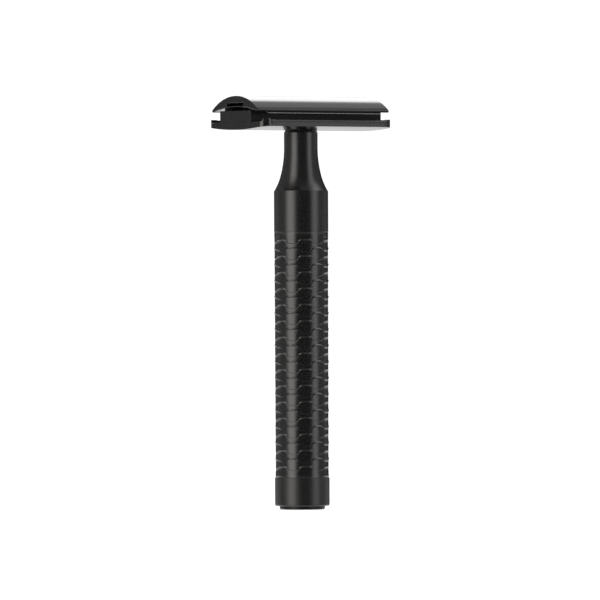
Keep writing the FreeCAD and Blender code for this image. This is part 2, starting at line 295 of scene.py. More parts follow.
def bulged(start, end, radius, steps=12):
    """The points of an arc between two points, its centre on the outer side of a handle."""
    first, last = Vector(start), Vector(end)
    chord = last - first
    rise = math.sqrt(radius ** 2 - chord.length ** 2 / 4)
    centre = (first + last) / 2 + Vector((chord.y, -chord.x)).normalized() * rise
    begin = math.atan2(first.y - centre.y, first.x - centre.x)
    finish = math.atan2(last.y - centre.y, last.x - centre.x)
    if begin < 0:
        begin += 2 * math.pi
    if finish < 0:
        finish += 2 * math.pi
    return arc_points(centre, radius, begin, finish, steps)


# Grip: wavy lines round the sleeve, two to each period, that mirror each other.
# A line is a low ridge where it runs high, and a shallow groove where it runs low.

GRIP_PERIOD = 4.316
GRIP_LINES = 29
GRIP_TOP_LINE = 71.45
GRIP_REPEATS = 6
GRIP_PHASE = math.radians(2.0)
GRIP_WAVE = 0.43
GRIP_COLUMNS = 240
CREST_LIFT = 0.17
VALLEY_DEPTH = 0.05
RIDGE_REACH = 0.36
LINE_CUT = 0.065
CUT_PLACE = 0.26
CUT_REACH = 0.2
SLEEVE_BORE = 5.8
SLEEVE_TAPER = 0.1
SLEEVE_EDGE = 0.12
SLEEVE_TOP_BAND = 0.9
SLEEVE_BOTTOM_BAND = 0.6

# Where a line's section has points, as shares of its reach; the fine cut is at CUT_PLACE.
LINE_OFFSETS = (-1.0, -0.8, -0.6, -0.42, -0.26, -0.13, 0.0, 0.13, 0.26, 0.42, 0.6, 0.8, 1.0)


def wave(angle):
    """From -1 to 1 round the sleeve, with soft shoulders."""
    steepness = 2.2
    value = math.cos(GRIP_REPEATS * (angle - GRIP_PHASE))
    return math.tanh(steepness * value) / math.tanh(steepness)


def plain_radius(height, low, high):
    """The sleeve's radius away from its lines, which grows towards the top."""
    share = (height - low.z) / (high.z - low.z)
    return high.x - CREST_LIFT - SLEEVE_TAPER * (1 - share)


def grip_column(angle, low, high):
    """(radius, height) points down the patterned outside of the sleeve at one angle."""
    points = []
    for number in range(GRIP_LINES):
        lift = wave(angle) * (1 if number % 2 == 0 else -1)
        middle = GRIP_TOP_LINE - number * GRIP_PERIOD / 2 + GRIP_WAVE * lift
        height = CREST_LIFT * max(0.0, lift) - VALLEY_DEPTH * max(0.0, -lift)
        line = []
        for offset in LINE_OFFSETS:
            z = middle - offset * RIDGE_REACH
            swell = math.cos(math.pi / 2 * offset) ** 2
            cut = LINE_CUT * max(0.0, 1 - abs(offset - CUT_PLACE) / CUT_REACH)
            line.append((plain_radius(z, low, high) + height * swell - cut, z))
        if points:
            points += between(points[-1], line[0], 2)
        points += line
    return points


def between(start, end, count):
    """Evenly spaced points strictly between two points."""
    return [(start[0] + (end[0] - start[0]) * i / (count + 1),
             start[1] + (end[1] - start[1]) * i / (count + 1)) for i in range(1, count + 1)]


def sleeve_end(edge, end, band):
    """One end of the sleeve, from its bore to the plain band beside the pattern."""
    inward = math.copysign(1.0, -band)
    return [(SLEEVE_BORE, end), (edge - 0.1, end), (edge - 0.03, end + 0.03 * inward),
            (edge, end + 0.1 * inward), (edge, end - band)]


def make_grip_sleeve():
    """The sleeve, made of columns of points that go down it and up its bore."""
    low, high = extent("grip_sleeve")
    top_edge = high.x - SLEEVE_EDGE
    head = sleeve_end(top_edge, high.z, SLEEVE_TOP_BAND)
    foot = sleeve_end(top_edge - SLEEVE_TAPER, low.z, -SLEEVE_BOTTOM_BAND)[::-1]
    verts, faces = [], []
    for i in range(GRIP_COLUMNS):
        angle = 2 * math.pi * i / GRIP_COLUMNS
        pattern = grip_column(angle, low, high)
        column = (head + between(head[-1], pattern[0], 2) + pattern
                  + between(pattern[-1], foot[0], 2) + foot)
        verts += [(r * math.cos(angle), r * math.sin(angle), z) for r, z in column]
    size = len(column)
    for i in range(GRIP_COLUMNS):
        here, beside = i * size, ((i + 1) % GRIP_COLUMNS) * size
        for k in range(size):
            n = (k + 1) % size
            faces.append((here + k, here + n, beside + n, beside + k))
    return finish_mesh("grip_sleeve_patterned", verts, faces, sharp_angle=34)


# Head: every long piece is a section across it, skinned along X.

END_STEPS = 6
BLADE_ARC = 32.0
BLADE_CENTRE = 75.4
BLADE_ROOM = 0.08
STUD_RADIUS = 2.45

# Cap
CAP_SHOULDER = 106.42
CAP_ARC = 16.2
CAP_CHANNEL_HALF = 3.7
CAP_CHANNEL_ROOF = 108.3
CAP_EDGE = 0.12
LIP_UNDERCUT = 0.3


def circle_height(radius, offset, centre):
    """How high the top of a circle is at a distance from its middle."""
    return centre + math.sqrt(radius * radius - offset * offset)


def across(start, end, radius, centre, steps):
    """Points of an arc over the head from one distance off the middle to another."""
    return [(start + (end - start) * i / steps,
             circle_height(radius, start + (end - start) * i / steps, centre))
            for i in range(steps + 1)]


def end_rounding(length, edge):
    """(x, inset) stations that round the edges at one end of a long piece."""
    return [(length / 2 - edge + edge * math.sin(math.pi / 2 * i / END_STEPS),
             edge - edge * math.cos(math.pi / 2 * i / END_STEPS))
            for i in range(END_STEPS + 1)]


def cap_section(half, peak):
    """The cap's section, counter-clockwise from the foot of one lip, as (y, z) points."""
    top = across(half, -half, CAP_ARC, peak - CAP_ARC, 64)
    right = across(CAP_CHANNEL_HALF, half - LIP_UNDERCUT, BLADE_ARC + BLADE_ROOM,
                   BLADE_CENTRE, 10)
    left = [(-y, z) for y, z in reversed(right)]
    return rounded([
        (*right[-1], 0.22), (half, CAP_SHOULDER, 0.24), *top[2:-2],
        (-half, CAP_SHOULDER, 0.24), (*left[0], 0.22), *left[1:-1], (*left[-1], 0.22),
        (-CAP_CHANNEL_HALF, CAP_CHANNEL_ROOF, 0.3), (CAP_CHANNEL_HALF, CAP_CHANNEL_ROOF, 0.3),
        (*right[0], 0.22), *right[1:-1],
    ])


def make_top_cap():
    """The domed cap, with the sockets that hold the stud and the two pins."""
    low, high = extent("top_cap")
    section = cap_section(high.y, high.z)
    stations = end_rounding(high.x - low.x, CAP_EDGE)
    stations = [(-x, d) for x, d in reversed(stations)] + stations
    loops = [[(x, y, z) for y, z in inset(section, d)] for x, d in stations]
    cap = skinned("top_cap_finished", loops)
    stud_high = extent("clamp_stud")[1].z
    pin_low, pin_high = extent("locating_pin_right")
    pin_x, pin_radius = (pin_low.x + pin_high.x) / 2, (pin_high.x - pin_low.x) / 2
    below = CAP_CHANNEL_ROOF - 1
    cutters = [socket(STUD_RADIUS, below, stud_high, 0)]
    cutters += [socket(pin_radius, below, pin_high.z, x) for x in (-pin_x, pin_x)]
    return carved(cap, cutters)


def socket(radius, bottom, top, x):
    """A cutter for a round vertical hole."""
    outline = [(0, bottom), (radius, bottom), (radius, top), (0, top)]
    return turned("cutter", outline, closed=False, at=(x, 0), segments=48)


# Base plate: the safety bars' front edges are bevelled between the plate's round corners.

BAR_LAND_START = 18.5
BAR_LAND_SWEEP = 0.7
BAR_LAND_FOOT = 102.4
BAR_RUN_OUT = 0.4
BAR_BOTTOM = 102.0
BEVELLED_RIM_DROP = 0.12
BELLY_ARC = 92.3
PLATE_CORNER = 2.6
PLATE_EDGE = 0.06
BLOCK_HALF = 6.75
CHANNEL_HALF = 3.5
TROUGH_FLOOR = 103.2
RIM_FOOT = 11.2
RIM_INNER_EDGE = 11.5
RIM_TOP = 104.0
RELIEF_TOP = 106.2
RELIEF_ROUND = 0.15
RELIEF_LENGTH = 1.6
STUD_HOLE_RADIUS = 2.65
SEAT_RADIUS = 4.6
PIN_HOLE_RADIUS = 1.6
PIN_HOLE_FLOOR = 102.7
CUTTER_TOP = 107.0

# A bar's front from its rim down, as (set back from the front, z). Both have the same number
# of points, because one turns into the other along the bar.
BEVELLED_FRONT = (
    (0.92, 103.88), (0.9, 103.87), (0.78, 103.82), (0.15, 103.48), (0.09, 103.43),
    (0.09, 103.37), (0.16, 103.32), (0.17, 103.26), (0.14, 103.18), (0.13, 102.9),
    (0.13, 102.7), (0.16, 102.6), (0.13, 102.54), (0.03, 102.49), (0.0, 102.44), (0.0, 102.3),
)
PLAIN_RIM = ((0.3, 104.0), (0.22, 103.99), (0.14, 103.96), (0.07, 103.9), (0.02, 103.82),
             (0.0, 103.72), (0.0, 103.6), (0.0, 103.4))
PLAIN_FRONT = PLAIN_RIM + tuple((0.0, z) for _, z in BEVELLED_FRONT[len(PLAIN_RIM):])


def bar_front(bevelled, half):
    """The front of a bar from its rim down, as (y, z) points."""
    return [(half - back, z) for back, z in (BEVELLED_FRONT if bevelled else PLAIN_FRONT)]


def plate_section(bevelled, half):
    """The plate's whole section, counter-clockwise from the bottom, as (y, z) points."""
    lift = circle_height(BELLY_ARC, half, 0)
    belly = [(y, BAR_BOTTOM - (z - lift))
             for y, z in across(-half, half, BELLY_ARC, 0, 40)]
    top = across(BLOCK_HALF, CHANNEL_HALF, BLADE_ARC - BLADE_ROOM, BLADE_CENTRE, 8)
    wall = [(BLOCK_HALF, RELIEF_TOP - RELIEF_ROUND * share)
            for share in (1.2, 1, 0.75, 0.5, 0.25)]
    rim_top = RIM_TOP - (BEVELLED_RIM_DROP if bevelled else 0)
    right = [
        (half, BAR_BOTTOM, 0.06), *reversed(bar_front(bevelled, half)),
        (RIM_INNER_EDGE, rim_top, 0.08), (RIM_FOOT, TROUGH_FLOOR, 0.2),
        (BLOCK_HALF, TROUGH_FLOOR, 0.35), *wall,
        (*top[0], 0.14), *top[1:-1], (*top[-1], 0.14), (CHANNEL_HALF, RELIEF_TOP, 0.2),
    ]
    left = [(-corner[0], *corner[1:]) for corner in reversed(right)]
    return rounded(belly[1:-1] + right + left)


def relieved(section):
    """The same section where the block is cut down level with its channel's floor."""
    points = []
    for y, z in section:
        climb = (z - RELIEF_TOP) / RELIEF_ROUND + 1
        if abs(y) < BLOCK_HALF + 0.01 and climb > 0:
            turn = math.pi / 2 * unit(climb)
            limit = BLOCK_HALF - RELIEF_ROUND + RELIEF_ROUND * math.cos(turn)
            y = math.copysign(min(abs(y), limit), y)
            z = RELIEF_TOP - RELIEF_ROUND + RELIEF_ROUND * math.sin(turn)
        points.append((y, z))
    return points


def land_share(x, z):
    """1 by the bar's round corner and 0 on its bevelled stretch, with a curved run-out."""
    climb = unit((z - BAR_LAND_FOOT) / (RIM_TOP - BAR_LAND_FOOT))
    reach = BAR_LAND_START + BAR_LAND_SWEEP * climb ** 0.6
    share = unit((abs(x) - reach) / BAR_RUN_OUT + 0.5)
    return share * share * (3 - 2 * share)


def corner_limit(x, half_length, half_width):
    """Half the plate's width at a distance along it, less beside its round corners."""
    past = abs(x) - (half_length - PLATE_CORNER)
    if past <= 0:
        return half_width
    return half_width - PLATE_CORNER + math.sqrt(max(0.0, PLATE_CORNER ** 2 - past ** 2))


def trimmed(y, z, limit, half_width):
    """A point of the plate's section, brought inside the round corner's limit."""
    if abs(y) <= limit:
        return y, z
    slope = (RIM_TOP - TROUGH_FLOOR) / (RIM_INNER_EDGE - RIM_FOOT)
    top = TROUGH_FLOOR + slope * (limit - RIM_FOOT)
    top = min(RIM_TOP, max(TROUGH_FLOOR, top))
    edge = circle_height(BELLY_ARC, half_width, 0)
    bottom = BAR_BOTTOM - (circle_height(BELLY_ARC, limit, 0) - edge)
    return math.copysign(limit, y), min(top, max(bottom, z))


def plate_stations(half_length, relief_x):
    """Places along the plate, close together where its shape changes."""
    bends = [math.sin(math.radians(3.75 * i)) for i in range(25)]
    right = [3.0 * i for i in range(6)] + [17.0, 17.8]
    right += [BAR_LAND_START - 0.3 + 0.1 * i for i in range(14)]
    right += [relief_x, relief_x + 0.01]
    right += [half_length - PLATE_CORNER + PLATE_CORNER * bend for bend in bends]
    right += [half_length - PLATE_EDGE * share for share in (1.0, 0.7, 0.4, 0.15)]
    kept = []
    for x in sorted(right):
        if not kept or x - kept[-1] > 0.008:
            kept.append(x)
    kept[-1] = half_length
    return sorted({-x for x in kept} | set(kept))


def make_base_plate():
    """The plate: its two sections blended along it, then cut by its corners and holes."""
    low, high = extent("base_plate")
    half_length, half_width = high.x, high.y
    relief_x = half_length - RELIEF_LENGTH
    whole = [plate_section(bevelled, half_width) for bevelled in (False, True)]
    cut_down = [relieved(section) for section in whole]
    loops = []
    for x in plate_stations(half_length, relief_x):
        plain, bevelled = cut_down if abs(x) > relief_x + 0.005 else whole
        limit = corner_limit(x, half_length, half_width)
        section = []
        for (y0, z0), (y1, z1) in zip(plain, bevelled):
            share = land_share(x, (z0 + z1) / 2)
            y, z = y1 + (y0 - y1) * share, z1 + (z0 - z1) * share
            section.append(trimmed(y, z, limit, half_width))
        past = max(0.0, abs(x) - (half_length - PLATE_EDGE))
        edge = PLATE_EDGE - math.sqrt(max(0.0, PLATE_EDGE ** 2 - past ** 2))
        loops.append([(x, y, z) for y, z in inset(section, edge)])
    plate = skinned("base_plate_finished", loops)
    neck_high = extent("handle_neck")[1].z
    pin_low, pin_high = extent("locating_pin_right")
    pin_x = (pin_low.x + pin_high.x) / 2
    cutters = [bevelled_hole(STUD_HOLE_RADIUS, low.z - 1, CUTTER_TOP, RELIEF_TOP, 0),
               socket(SEAT_RADIUS, low.z - 1, neck_high + 0.02, 0)]
    cutters += [bevelled_hole(PIN_HOLE_RADIUS, PIN_HOLE_FLOOR, CUTTER_TOP, RELIEF_TOP, x)
                for x in (-pin_x, pin_x)]
    return carved(plate, cutters)


def bevelled_hole(radius, bottom, top, rim, x):
    """A cutter for a round hole whose mouth, at the height of rim, has a small bevel."""
    bevel = 0.2
    outline = [(0, bottom), (radius, bottom), (radius, rim - bevel),
               (radius + bevel, rim), (radius + bevel, top), (0, top)]
    return turned("cutter", outline, closed=False, at=(x, 0), segments=48)


# Blade: a flat outline with its slot, bent over an arc, with ground edges.

BLADE_THICKNESS = 0.1
HONED_WIDTH = 0.26
HONED_DEPTH = 0.94
EDGE_LENGTH = 37.6
TAB_HALF = 7.8
TAB_CORNER = 0.6
TIP_ROUND = 0.7
SLOT_HALF = 1.0
SLOT_HALF_LENGTH = 16.5

# The slot's round openings, for the stud and the pins, as (middle, radius).
SLOT_OPENINGS = ((0.0, 3.1), (12.5, 2.1))


def slot_half_width(x):
    """Half the width of the blade's slot at a distance along it; nothing past its ends."""
    width = SLOT_HALF if abs(x) <= SLOT_HALF_LENGTH else 0.0
    for middle, radius in SLOT_OPENINGS:
        off = abs(abs(x) - middle)
        if off < radius:
            width = max(width, math.sqrt(radius * radius - off * off))
    return width


def blade_half_width(x, length, half):
    """Half the blade's width, less at the tabs, with rounded inner corners."""
    past, from_tip = abs(x) - EDGE_LENGTH / 2, length / 2 - abs(x)
    if past <= 0:
        return half
    if past < TAB_CORNER:
        return TAB_HALF + TAB_CORNER - math.sqrt(TAB_CORNER ** 2 - (TAB_CORNER - past) ** 2)
    if from_tip < TIP_ROUND:
        return TAB_HALF - TIP_ROUND + math.sqrt(TIP_ROUND ** 2 - (TIP_ROUND - from_tip) ** 2)
    return TAB_HALF


def blade_point(x, y, side, half):
    """A point of the bent blade; side is 1 on the outer face and -1 on the inner one."""
    honed = unit((abs(y) - half + HONED_WIDTH) / HONED_WIDTH)
    offset = BLADE_THICKNESS / 2
    if side > 0:
        offset -= BLADE_THICKNESS * HONED_DEPTH * honed
    radius = BLADE_ARC + side * offset
    return (x, y, circle_height(radius, y, BLADE_CENTRE))


def blade_places(length):
    """Places along the blade, close together where its outline or its slot bends."""
    quarter = [math.pi / 2 * i / 6 for i in range(7)]
    places = [EDGE_LENGTH / 2 + TAB_CORNER * (1 - math.cos(turn)) for turn in quarter]
    places += [length / 2 - TIP_ROUND * (1 - math.sin(turn)) for turn in quarter]
    places += [SLOT_HALF_LENGTH + 0.001, SLOT_HALF_LENGTH - 0.001]
    for middle, radius in SLOT_OPENINGS:
        reach = math.sqrt(radius ** 2 - SLOT_HALF ** 2)
        places += [middle + reach * math.sin(math.pi / 2 * i / 8) for i in range(-8, 9)]
    places += [1.5 * i for i in range(3, 8)]
    right = {round(x, 4) for x in places if x >= 0}
    return sorted({-x for x in right} | right)


def make_razor_blade():
    """The blade, as rows of points across it on both faces and both sides of its slot."""
    low, high = extent("razor_blade")
    length, half = high.x - low.x, high.y
    verts, faces, rows = [], [], []
    shares = [0, 0.12, 0.25, 0.4, 0.55, 0.7, 0.85]
    for x in blade_places(length):
        hole = slot_half_width(x)
        outer = blade_half_width(x, length, half)
        ground = min(outer, half - HONED_WIDTH)
        row = {}
        for sign in (1, -1):
            ys = [hole + (ground - hole) * share for share in shares] + [ground, outer]
            for side in (1, -1):
                row[(sign, side)] = list(range(len(verts), len(verts) + len(ys)))
                verts += [blade_point(x, sign * y, side, half) for y in ys]
        rows.append(row)
    for before, after in zip(rows, rows[1:]):
        for sign in (1, -1):
            for side in (1, -1):
                a, b = before[(sign, side)], after[(sign, side)]
                faces += [(a[k], a[k + 1], b[k + 1], b[k]) for k in range(len(a) - 1)]
            for k in (0, -1):
                top_a, top_b = before[(sign, 1)][k], after[(sign, 1)][k]
                low_a, low_b = before[(sign, -1)][k], after[(sign, -1)][k]
                faces.append((top_a, top_b, low_b, low_a))
    for row in (rows[0], rows[-1]):
        for sign in (1, -1):
            top, bottom = row[(sign, 1)], row[(sign, -1)]
            faces += [(top[k], top[k + 1], bottom[k + 1], bottom[k])
                      for k in range(len(top) - 1)]
    piece = finish_mesh("razor_blade_ground", verts, faces, sharp_angle=30)
    clean_inner_walls(piece)
    return piece


def clean_inner_walls(piece):
    """Removes doubled walls where the blade's two halves meet past the slot's ends."""
    work = bmesh.new()
    work.from_mesh(piece.data)
    inner = [face for face in work.faces
             if all(abs(vert.co.y) < 0.005 * MM for vert in face.verts)]
    bmesh.ops.delete(work, geom=inner, context="FACES")
    bmesh.ops.remove_doubles(work, verts=work.verts, dist=0.002 * MM)
    bmesh.ops.recalc_face_normals(work, faces=work.faces)
    work.to_mesh(piece.data)
    work.free()
    piece.data.set_sharp_from_angle(angle=math.radians(30))


# Stud and pins

STUD_PITCH = 0.8
STUD_COLLAR_BOTTOM = 107.55
THREAD_TOP = 106.0
THREAD_DEPTH = 0.42
THREAD_FADE = 0.8
STUD_BEVEL = 0.5


def make_clamp_stud():
    """The stud with its helical thread: a section that turns as it climbs."""
    low, high = extent("clamp_stud")
    collar, segments = high.x, 96
    verts, faces, rings = [], [], []
    step = STUD_PITCH / 12
    count = int((THREAD_TOP - low.z) / step)
    for row in range(count + 1):
        z = low.z + row * step
        ring = []
        for i in range(segments):
            angle = 2 * math.pi * i / segments
            phase = (z / STUD_PITCH - i / segments) % 1.0
            tooth = unit(1.25 - abs(phase - 0.5) * 3.6)
            fade = unit((THREAD_TOP - z) / THREAD_FADE)
            root = STUD_RADIUS - THREAD_DEPTH * (1 - tooth) * fade
            taper = STUD_BEVEL * max(0.0, 1 - (z - low.z) / STUD_BEVEL)
            root = min(root, STUD_RADIUS - taper)
            ring.append(len(verts))
            verts.append((root * math.cos(angle), root * math.sin(angle), z))
        rings.append(ring)
    upper = rounded([
        (STUD_RADIUS, THREAD_TOP + 0.05), (STUD_RADIUS, STUD_COLLAR_BOTTOM),
        (collar, STUD_COLLAR_BOTTOM, 0.12), (collar, CAP_CHANNEL_ROOF),
        (STUD_RADIUS, CAP_CHANNEL_ROOF), (STUD_RADIUS, high.z),
    ], closed=False)
    for r, z in upper:
        rings.append(list(range(len(verts), len(verts) + segments)))
        verts += [(r * math.cos(2 * math.pi * i / segments),
                   r * math.sin(2 * math.pi * i / segments), z) for i in range(segments)]
    for below, above in zip(rings, rings[1:]):
        for i in range(segments):
            j = (i + 1) % segments
            faces.append((below[i], below[j], above[j], above[i]))
    for ring, height in ((rings[0], low.z), (rings[-1], high.z)):
        middle = len(verts)
        verts.append((0, 0, height))
        faces += [(ring[i], ring[(i + 1) % segments], middle) for i in range(segments)]
    return finish_mesh("clamp_stud_threaded", verts, faces, sharp_angle=35)


def make_locating_pin(node):
    """A pin with a bevelled foot, in its CAD node's place."""
    low, high = extent(node)
    middle, radius, bevel = (low.x + high.x) / 2, (high.x - low.x) / 2, 0.3
    return turned(f"{node}_turned", rounded([
        (0, low.z), (radius - bevel, low.z, 0.15), (radius, low.z + bevel, 0.15),
        (radius, high.z), (0, high.z),
    ], closed=False), closed=False, at=(middle, 0), segments=64)


# Materials

COATING_IOR = 2.25
DARK_COATING = (0.004, 0.004, 0.004, 1)
LIGHT_COATING = (0.009, 0.0088, 0.0085, 1)
# A light grey painted on ridge crests as a highlight.
CREST_HIGHLIGHT_COLOUR = (0.11, 0.107, 0.1, 1)


class Nodes:
    """Adds nodes to a tree and joins them, so that a material reads as a recipe."""

    def __init__(self, tree):
        self.tree = tree

    def add(self, kind, settings=None, **inputs):
        node = self.tree.nodes.new(kind)
        for key, value in (settings or {}).items():
            setattr(node, key, value)
        for key, value in inputs.items():
            target = node.inputs[int(key[1:]) if key[0] == "i" and key[1:].isdigit() else key]
            self.put(target, value)
        return node

    def put(self, target, value):
        if isinstance(value, bpy.types.NodeSocket):
            self.tree.links.new(value, target)
        else:
            target.default_value = value

    def math(self, operation, first, second=0.0):
        node = self.add("ShaderNodeMath", {"operation": operation}, i0=first, i1=second)
        return node.outputs[0]

    def smooth(self, value, low, high, bottom, top):
        node = self.add("ShaderNodeMapRange", {"interpolation_type": "SMOOTHSTEP"},
                        i0=value, i1=low, i2=high, i3=bottom, i4=top)
        return node.outputs[0]

    def ramp(self, value, low, high, bottom, top):
        node = self.add("ShaderNodeMapRange", i0=value, i1=low, i2=high, i3=bottom, i4=top)
        return node.outputs[0]

    def noise(self, vector, scale, detail=3.0, roughness=0.5):
        node = self.add("ShaderNodeTexNoise", Vector=vector, Scale=scale, Detail=detail,
                        Roughness=roughness)
        return node.outputs["Fac"]

    def stretched(self, vector, scale):
        node = self.add("ShaderNodeMapping", Vector=vector, Scale=scale)
        return node.outputs["Vector"]

    def mixed(self, share, first, second):
        node = self.add("ShaderNodeMix", {"data_type": "RGBA"})
        self.put(node.inputs[0], share)
        self.put(node.inputs[6], first)
        self.put(node.inputs[7], second)
        return node.outputs[2]

    def bump(self, height, distance, strength=1.0):
        node = self.add("ShaderNodeBump", Height=height, Distance=distance, Strength=strength)
        return node.outputs["Normal"]


def new_material(name):
    """A new material, its nodes, its shader and its object coordinates."""
    material = bpy.data.materials.new(name)
    material.use_nodes = True
    nodes = Nodes(material.node_tree)
    shader = material.node_tree.nodes["Principled BSDF"]
    place = nodes.add("ShaderNodeTexCoord").outputs["Object"]
    return material, nodes, shader, place


def black_coating(name, dark, light, roughness, spread, lines, line_depth, grain_depth,
                  highlight_strength=0.0):
    """A hard black coating on steel: mottled tone, fine tool lines and a faint grain.

    Its last argument paints a highlight: above 0, the crests of small ridges get a lighter
    colour.
    """
    material, nodes, shader, place = new_material(name)
    cloud = nodes.noise(place, 160.0, 4.0, 0.6)
    speckle = nodes.noise(place, 5200.0, 2.0, 0.5)
    streak = nodes.noise(nodes.stretched(place, lines), 1.0, 3.0, 0.65)
    tone = nodes.math("ADD", nodes.math("MULTIPLY", cloud, 0.6),
                      nodes.math("MULTIPLY", streak, 0.4))
    colour = nodes.mixed(nodes.ramp(tone, 0.3, 0.7, 0.0, 1.0), dark, light)
    # Painted highlight: a lighter colour on the crests of small ridges, where their edges catch
    # the light.
    if highlight_strength:
        crest = nodes.add("ShaderNodeNewGeometry").outputs["Pointiness"]
        painted_crest_highlight = nodes.math("MULTIPLY", nodes.ramp(crest, 0.51, 0.56, 0.0, highlight_strength),
                            nodes.ramp(cloud, 0.3, 0.6, 0.6, 1.0))
        colour = nodes.mixed(painted_crest_highlight, colour, CREST_HIGHLIGHT_COLOUR)
    nodes.put(shader.inputs["Base Color"], colour)
    uneven = nodes.math("ADD", nodes.math("MULTIPLY", streak, 0.7),
                        nodes.math("MULTIPLY", cloud, 0.3))
    nodes.put(shader.inputs["Roughness"],
              nodes.ramp(uneven, 0.25, 0.75, roughness - spread, roughness + spread))
    grain = nodes.math("ADD", nodes.math("MULTIPLY", streak, line_depth),
                       nodes.math("MULTIPLY", speckle, grain_depth))
    nodes.put(shader.inputs["Normal"], nodes.bump(grain, MM, 1.0))
    shader.inputs["Metallic"].default_value = 0.0
    shader.inputs["IOR"].default_value = COATING_IOR
    return material


def set_reflection(material, level):
    """Sets how strongly a coating reflects, to a number or to a node's output."""
    shader = material.node_tree.nodes["Principled BSDF"]
    Nodes(material.node_tree).put(shader.inputs["Specular IOR Level"], level)


def foot_black_painted_shade():
    """The coating of the foot, dull and reflecting little: painted shade for the shadow under
    the knob.
    """
    material = black_coating("foot_black_painted_shade", (0.005, 0.005, 0.005, 1), (0.01, 0.0097, 0.0093, 1),
                             roughness=0.42, spread=0.04, lines=(260.0, 260.0, 14000.0),
                             line_depth=0.0008, grain_depth=0.0008)
    # Painted shade: the foot reflects little, so that it looks shadowed under the knob.
    set_reflection(material, 0.2)
    return material


def satin_black():
    """The smooth coating of the neck and the collar."""
    return black_coating("satin_black", DARK_COATING, LIGHT_COATING,
                         roughness=0.26, spread=0.02, lines=(260.0, 260.0, 16000.0),
                         line_depth=0.0002, grain_depth=0.0003)


def sleeve_black():
    """The coating of the grip, with a painted highlight along its ridges."""
    return black_coating("sleeve_black", DARK_COATING, LIGHT_COATING,
                         roughness=0.2, spread=0.03, lines=(260.0, 260.0, 16000.0),
                         line_depth=0.0005, grain_depth=0.0002, highlight_strength=0.7)


def matte_black():
    """The duller, finely turned coating of the knob."""
    material = black_coating("matte_black", (0.006, 0.006, 0.006, 1), (0.012, 0.0115, 0.011, 1),
                             roughness=0.36, spread=0.035, lines=(260.0, 260.0, 14000.0),
                             line_depth=0.0012, grain_depth=0.0009)
    set_reflection(material, 0.45)
    return material


def gloss_black():
    """The cap's polished coating, with painted shade under its lips, next to the blade: its
    reflection is turned down there.
    """
    material = black_coating("gloss_black", DARK_COATING, (0.009, 0.0088, 0.0086, 1),
                             roughness=0.13, spread=0.03, lines=(240.0, 9000.0, 9000.0),
                             line_depth=0.0004, grain_depth=0.0003)
    nodes = Nodes(material.node_tree)
    place = nodes.add("ShaderNodeTexCoord").outputs["Object"]
    parts = nodes.add("ShaderNodeSeparateXYZ", Vector=place).outputs
    # Painted shade: the reflection is turned down under the lips, where they shade the blade's
    # edge.
    outside = nodes.smooth(nodes.math("ABSOLUTE", parts["Y"]), 9.0 * MM, 9.6 * MM, 0.0, 1.0)
    low = nodes.smooth(parts["Z"], 106.0 * MM, 106.3 * MM, 1.0, 0.0)
    lip_shade = nodes.math("MULTIPLY", outside, low)
    set_reflection(material, nodes.ramp(lip_shade, 0.0, 1.0, 0.5, 0.06))
    return material


def plate_black():
    """The plate's coating, with painted shade in the troughs beside its block: its reflection
    is turned down there.
    """
    material = black_coating("plate_black", DARK_COATING, (0.01, 0.0098, 0.0096, 1),
                             roughness=0.17, spread=0.03, lines=(300.0, 8000.0, 8000.0),
                             line_depth=0.0005, grain_depth=0.0004)
    nodes = Nodes(material.node_tree)
    place = nodes.add("ShaderNodeTexCoord").outputs["Object"]
    parts = nodes.add("ShaderNodeSeparateXYZ", Vector=place).outputs
    # Painted shade: the reflection is turned down in the troughs beside the block, where the
    # cap and the bars shade them.
    beside = nodes.smooth(nodes.math("ABSOLUTE", parts["Y"]), 9.6 * MM, 11.0 * MM, 1.0, 0.0)
    within = nodes.smooth(nodes.math("ABSOLUTE", parts["X"]), 21.64 * MM, 21.74 * MM, 1.0, 0.0)
    high = nodes.smooth(parts["Z"], 102.9 * MM, 103.1 * MM, 0.0, 1.0)
    trough_shade = nodes.math("MULTIPLY", nodes.math("MULTIPLY", beside, within), high)
    set_reflection(material, nodes.ramp(trough_shade, 0.0, 1.0, 0.5, 0.08))
    return material


def ground_blade_steel():
    """Bright blade steel, duller and cross-ground where the edges are sharpened."""
    material, nodes, shader, place = new_material("ground_blade_steel")
    across_head = nodes.add("ShaderNodeSeparateXYZ", Vector=place).outputs["Y"]
    from_middle = nodes.math("ABSOLUTE", across_head)
    edge = nodes.smooth(from_middle, 9.95 * MM, 10.2 * MM, 0.0, 1.0)
    rolled = nodes.noise(nodes.stretched(place, (400.0, 14000.0, 1.0)), 1.0, 3.0, 0.6)
    ground = nodes.noise(nodes.stretched(place, (22000.0, 900.0, 1.0)), 1.0, 3.0, 0.6)
    flat_colour = nodes.mixed(rolled, (0.50, 0.51, 0.52, 1), (0.66, 0.67, 0.68, 1))
    edge_colour = nodes.mixed(ground, (0.60, 0.61, 0.62, 1), (0.80, 0.81, 0.82, 1))
    nodes.put(shader.inputs["Base Color"], nodes.mixed(edge, flat_colour, edge_colour))
    nodes.put(shader.inputs["Roughness"],
              nodes.math("ADD", nodes.ramp(rolled, 0.2, 0.8, 0.16, 0.26),
                         nodes.math("MULTIPLY", edge, 0.08)))
    height = nodes.math("ADD", nodes.math("MULTIPLY", rolled, 0.0003),
                        nodes.math("MULTIPLY", nodes.math("MULTIPLY", ground, edge), 0.0006))
    nodes.put(shader.inputs["Normal"], nodes.bump(height, MM, 1.0))
    shader.inputs["Metallic"].default_value = 1.0
    return material


